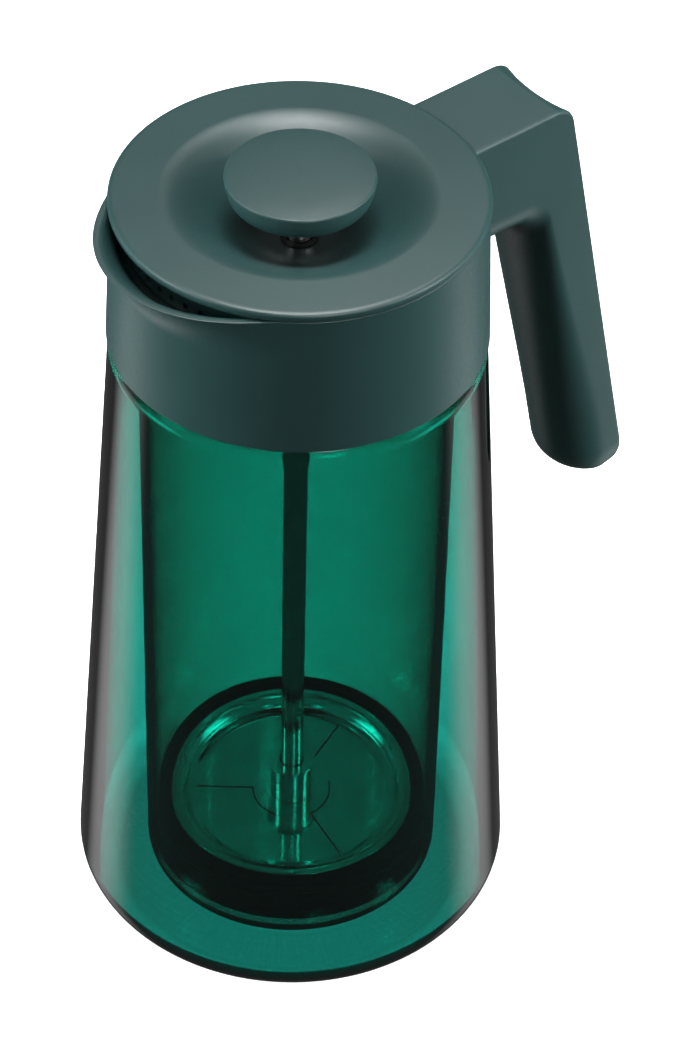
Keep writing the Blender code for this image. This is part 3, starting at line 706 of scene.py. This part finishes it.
def top_plate():
    """Pressed steel dish: floor with three hooked cuts, stepped wall, ridge, flat rim and skirt."""
    sheet = DISC_THICKNESS
    low = PLATE_LOW
    high = low + sheet
    rim_top = RING_TOP - 0.0009
    ridge_top = rim_top + 0.0006
    floor, ridge, rim = 0.0305, 0.0348, 0.0357
    corners = [(STUD_HOLE_RADIUS, low, 0), (floor + 0.0005, low, 0.0010)]
    corners += [(ridge, ridge_top - 2 * sheet, 0.0004)]
    corners += [(rim, rim_top - sheet, 0.0004), (DISC_RADIUS - sheet, rim_top - sheet, 0.0003)]
    corners += [(DISC_RADIUS - sheet, low, 0), (DISC_RADIUS, low, 0), (DISC_RADIUS, rim_top, 0.0005)]
    corners += [(rim, rim_top, 0.0006), (ridge, ridge_top, 0.0008)]
    corners += [(0.0331, high + 0.0026, 0.0007), (0.0326, high + 0.0015, 0.0006)]
    corners += [(0.0314, high + 0.0009, 0.0008), (floor - 0.0004, high, 0.0009)]
    corners += [(STUD_HOLE_RADIUS, high, 0)]
    plate = turned("top_disc", corners, weighted=False)
    cuts, first_cut = 3, radians(20)
    cutters = []
    for number in range(cuts):
        bm = hooked_cut(2 * pi * number / cuts + first_cut, low, high)
        cutters.append(add_piece(f"plate_slit_{number}", bm, weighted=False))
    return carve(plate, cutters)


def flat_disc(name, node):
    """Flat disc with a stud hole, filling a node's box."""
    radius, low, high = corner_box(node)
    corners = [(STUD_HOLE_RADIUS, low, 0), (radius, low, 0.0002)]
    corners += [(radius, high, 0.0002), (STUD_HOLE_RADIUS, high, 0)]
    return turned(name, corners, weighted=False)


def backing_disc():
    """Lower disc with its ring of flow holes."""
    disc = flat_disc("lower_disc", "cross_plate")
    low, high = corner_box("cross_plate")[1:]
    hole_radius, hole_circle, holes, first_hole = 0.0056, 0.0235, 8, 0.4
    below, above = low - CUT_MARGIN, high + CUT_MARGIN
    cutters = []
    for number in range(holes):
        angle = 2 * pi * (number + first_hole) / holes
        outline = [(0, below), (hole_radius, below), (hole_radius, above), (0, above)]
        bm = turn(outline, FLOW_HOLE_SIDES)
        centre = Vector((hole_circle * cos(angle), hole_circle * sin(angle), 0))
        bmesh.ops.translate(bm, verts=bm.verts, vec=centre)
        cutters.append(add_piece(f"flow_drill_{number}", bm, weighted=False))
    return carve(disc, cutters)


def wiping_ring():
    """Deep silicone ring with a ledge under the discs and a wiping lip at its top and bottom."""
    shelf, seat, waist = 0.0350, DISC_RADIUS + GAP, RING_RADIUS - 0.0007
    shelf_low, shelf_high = 0.0165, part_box("cross_plate")[0].z - GAP
    low, top = RING_LOW, RING_TOP
    corners = [(shelf, shelf_low, 0.0004), (0.0385, shelf_low, 0.0010), (0.0400, low, 0.0004)]
    corners += [(0.0412, low, 0.0006), (RING_RADIUS, low + 0.0020, 0.0008)]
    corners += [(RING_RADIUS, low + 0.0034, 0.0006), (waist, low + 0.0044, 0.0006)]
    corners += [(waist, top - 0.0044, 0.0006), (RING_RADIUS, top - 0.0034, 0.0006)]
    corners += [(RING_RADIUS, top, 0.0010), (seat, top, 0.0010), (seat, shelf_high, 0)]
    corners += [(shelf, shelf_high, 0.0003)]
    return turned("silicone_ring", corners)


# ---------------------------------------------------------------- studio

# Brightness of the floor and sky in mirrors outside the jug, and in those inside it below and above
# the horizon. A ray has been inside once it has passed more than INSIDE_DEPTH glass surfaces.
DARK_STUDIO = 0.08
LOW_SKY = 0.42
HIGH_SKY = 1.5
INSIDE_DEPTH = 6.5

FLOOR_SIZE = 14
FLOOR_GREY = 0.85
LAMP_AIM = Vector((0, 0, 0.13))

# A lamp's brightness at its middle, and where it starts to fade and is gone, in shares of its width
FEATHER_PEAK = 2.4
FEATHER_START = 0.1
FEATHER_END = 0.5


def calculate(tree, operation, first, second):
    """Output of a Math node on two values, each a number or another node's output."""
    node = tree.nodes.new("ShaderNodeMath")
    node.operation = operation
    for socket, value in zip(node.inputs, (first, second)):
        if isinstance(value, float):
            socket.default_value = value
        else:
            tree.links.new(value, socket)
    return node.outputs["Value"]


def unreflected(tree):
    """1 for what is seen straight or through glass, 0 for what has been mirrored."""
    path = tree.nodes.new("ShaderNodeLightPath")
    bounces = calculate(tree, "ADD", path.outputs["Glossy Depth"], path.outputs["Diffuse Depth"])
    return calculate(tree, "LESS_THAN", bounces, 0.5)


def studio_strength(tree, inside_level):
    """Full strength unreflected, dim in mirrors outside the jug and at inside_level in those inside it."""
    path = tree.nodes.new("ShaderNodeLightPath")
    inside = calculate(tree, "GREATER_THAN", path.outputs["Transmission Depth"], INSIDE_DEPTH)
    mirrored = calculate(tree, "MAXIMUM", calculate(tree, "MULTIPLY", inside, inside_level), DARK_STUDIO)
    return calculate(tree, "MAXIMUM", unreflected(tree), mirrored)


def sky_level(tree):
    """HIGH_SKY above the horizon and LOW_SKY below it."""
    coordinates = tree.nodes.new("ShaderNodeTexCoord")
    direction = tree.nodes.new("ShaderNodeSeparateXYZ")
    tree.links.new(coordinates.outputs["Generated"], direction.inputs["Vector"])
    above = calculate(tree, "GREATER_THAN", direction.outputs["Z"], 0.0)
    return calculate(tree, "MAXIMUM", calculate(tree, "MULTIPLY", above, HIGH_SKY), LOW_SKY)


def add_floor():
    bpy.ops.mesh.primitive_plane_add(size=FLOOR_SIZE)
    floor = bpy.context.object
    floor.name = "studio_floor"
    glow = (FLOOR_GREY, FLOOR_GREY, FLOOR_GREY, 1)
    paper = Finish("studio_paper", (1, 1, 1), roughness=0.85, Emission_Color=glow)
    paper.link(unreflected(paper.tree), paper.shader, "Base Color")
    paper.link(studio_strength(paper.tree, LOW_SKY), paper.shader, "Emission Strength")
    floor.data.materials.append(paper.material)
    floor.visible_diffuse = False
    floor.visible_glossy = False


def add_camera():
    data = bpy.data.cameras.new("camera")
    data.sensor_fit = "VERTICAL"
    data.sensor_height = SENSOR_HEIGHT
    data.lens = CAMERA_LENS
    data.clip_end = 50
    camera = bpy.data.objects.new("camera", data)
    camera.location = CAMERA_AT
    look = (CAMERA_AIM - CAMERA_AT).to_track_quat("-Z", "Y")
    camera.rotation_euler = (look.to_matrix() @ Matrix.Rotation(CAMERA_ROLL, 3, "Z")).to_euler()
    bpy.context.scene.collection.objects.link(camera)
    bpy.context.scene.camera = camera


def add_softbox(name, azimuth, elevation, distance, width, height, power):
    """A rectangular lamp aimed at the jug; azimuth 0 is the camera's side, positive to its right."""
    data = bpy.data.lights.new(name, "AREA")
    data.shape = "RECTANGLE"
    data.size = width
    data.size_y = height
    data.energy = power
    lamp = bpy.data.objects.new(name, data)
    side = Vector((CAMERA_AT.x, CAMERA_AT.y, 0)).normalized()
    side.rotate(Euler((0, 0, radians(azimuth))))
    away = side * cos(radians(elevation)) + Vector((0, 0, sin(radians(elevation))))
    lamp.location = LAMP_AIM + away * distance
    lamp.rotation_euler = (-away).to_track_quat("-Z", "Y").to_euler()
    bpy.context.scene.collection.objects.link(lamp)
    feather(data)
    return lamp


def feather(data):
    """Let a lamp fade out towards its edges, as cloth over a lamp does."""
    data.use_nodes = True
    tree = data.node_tree
    place = tree.nodes.new("ShaderNodeNewGeometry")
    offset = tree.nodes.new("ShaderNodeVectorMath")
    offset.operation = "DISTANCE"
    offset.inputs[1].default_value = (0.5, 0.5, 0)
    tree.links.new(place.outputs["Parametric"], offset.inputs[0])
    fade = tree.nodes.new("ShaderNodeMapRange")
    fade.interpolation_type = "SMOOTHSTEP"
    fade.inputs["From Min"].default_value = FEATHER_END
    fade.inputs["From Max"].default_value = FEATHER_START
    fade.inputs["To Max"].default_value = FEATHER_PEAK
    tree.links.new(offset.outputs["Value"], fade.inputs["Value"])
    tree.links.new(fade.outputs["Result"], tree.nodes["Emission"].inputs["Strength"])


def add_lights():
    """White world, and lamps by name, azimuth, elevation, distance, width, height and power."""
    world = bpy.data.worlds.new("studio")
    world.use_nodes = True
    sky = world.node_tree.nodes["Background"]
    sky.inputs["Color"].default_value = (1, 1, 1, 1)
    strength = studio_strength(world.node_tree, sky_level(world.node_tree))
    world.node_tree.links.new(strength, sky.inputs["Strength"])
    bpy.context.scene.world = world
    add_softbox("top_softbox", 180, 82, 1.6, 1.1, 1.1, 32)
    add_softbox("sheen_softbox", 168, 60, 1.6, 0.56, 0.56, 4.6)
    add_softbox("back_softbox", 180, 42, 2.2, 2.2, 1.4, 1.0)
    front = add_softbox("front_softbox", 22, 47, 1.2, 0.4, 0.4, 6)
    front.visible_diffuse = False
    for side, level in ((-1, 1.0), (1, 0.94)):
        add_softbox("edge_softbox", side * 108, 14, 1.3, 0.9, 1.9, 2 * level)
        fill = add_softbox("fill_softbox", side * 82, 8, 1.3, 1.0, 1.0, 37 * level)
        fill.visible_glossy = False
        card = add_softbox("low_card", side * 110, -36, 0.45, 0.32, 0.6, 0.27 * level)
        card.visible_diffuse = False
        rim = add_softbox("rim_softbox", side * 82, 42, 1.1, 0.4, 0.4, 6 * level)
        rim.visible_diffuse = False
    bpy.context.scene.view_settings.view_transform = "Standard"


# ---------------------------------------------------------------- assembly

def dress():
    """Build each piece, put it on its body and give it its finish."""
    jug_plastic = satin_plastic("jug_plastic", PLASTIC_COLOUR)
    lid_plastic = satin_plastic("lid_plastic", PLASTIC_COLOUR)
    knob_plastic = satin_plastic("knob_plastic", PLASTIC_COLOUR)
    glass = emerald_glass("green_glass")
    black = silicone("black_silicone")
    bar_steel = drawn_steel("bar_steel", stretch=(1, 1, 0.04), roughness=0.10)
    plate_steel = drawn_steel("plate_steel", stretch=(1, 1, 1), roughness=0.07)
    mesh_steel = woven_mesh("steel_mesh")
    brass = machined_brass("brass_insert")

    pieces = [
        (outer_wall(), "jug", "outer_glass", "green_glass", glass),
        (inner_wall(), "jug", "inner_glass", "green_glass", glass),
        (collar_band(), "jug", "collar", "jug_plastic", jug_plastic),
        (grip(), "jug", "handle", "jug_plastic", jug_plastic),
        (lid_top(), "lid", "lid_cover", "lid_plastic", lid_plastic),
        (strainer_ring(), "lid", "strainer", "lid_plastic", lid_plastic),
        (bush(), "lid", "rod_bush", "lid_plastic", lid_plastic),
        (seal_ring(), "lid_seal", "lid_seal", "black_silicone", black),
        (knob_top(), "plunger", "knob", "knob_plastic", knob_plastic),
        (rod(), "plunger", "plunger_rod", "polished_steel", bar_steel),
        (hub(), "plunger", "filter_hub", "polished_steel", bar_steel),
        (top_plate(), "plunger", "spiral_plate", "polished_steel", plate_steel),
        (flat_disc("mesh_disc", "mesh_screen"), "plunger", "mesh_screen", "steel_mesh", mesh_steel),
        (backing_disc(), "plunger", "cross_plate", "polished_steel", plate_steel),
        (wiping_ring(), "plunger", "filter_ring", "black_silicone", black),
    ]
    for piece, body, node, slot, material in pieces:
        piece.data.materials.clear()
        piece.data.materials.append(material)
        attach(piece, body)
        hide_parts(node)

    finishes = {"green_glass": glass, "jug_plastic": jug_plastic, "lid_plastic": lid_plastic,
                "knob_plastic": knob_plastic, "black_silicone": black, "polished_steel": bar_steel,
                "steel_mesh": mesh_steel, "brass_insert": brass}
    for subpart in frame["record"]["subparts"]:
        node = frame["nodes"][subpart["node"]]
        node.data.materials.clear()
        node.data.materials.append(finishes[subpart["material_slot"]])


dress()
add_floor()
add_camera()
add_lights()
